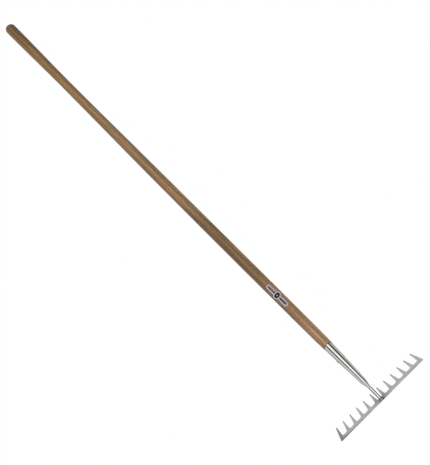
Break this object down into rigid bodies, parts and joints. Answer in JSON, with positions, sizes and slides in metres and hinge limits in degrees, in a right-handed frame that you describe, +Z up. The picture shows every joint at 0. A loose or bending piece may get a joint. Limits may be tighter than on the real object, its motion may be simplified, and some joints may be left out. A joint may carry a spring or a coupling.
{
  "type": "garden rake",
  "caption": "Long-handled garden rake: a toothed flat steel head welded to a round neck, in a rolled open cone socket riveted to a turned wooden handle.",
  "frame": {"origin": "on the ground, below the middle of the part's bounding box, with the rake resting on its tine tips and its grip end", "axes": "+X along the handle from the head towards the grip, +Y along the head, +Z up, away from the tine tips"},
  "size_m": [1.6016, 0.3332, 0.0809],
  "materials": {
    "ash_wood": "oiled, turned ash with open grain",
    "polished_steel": "polished stainless steel",
    "weld_steel": "weld metal with a purple-brown heat tint",
    "plate_steel": "satin stainless sheet",
    "label": "thin pale label with a satin face, blank"
  },
  "bodies": {
    "root": {"handle": "ash_wood", "socket": "polished_steel", "socket_rivet": "polished_steel", "socket_weld": "polished_steel", "neck": "polished_steel", "head_weld": "weld_steel", "rake_head": "plate_steel", "handle_label": "label"}
  },
  "joints": []
}
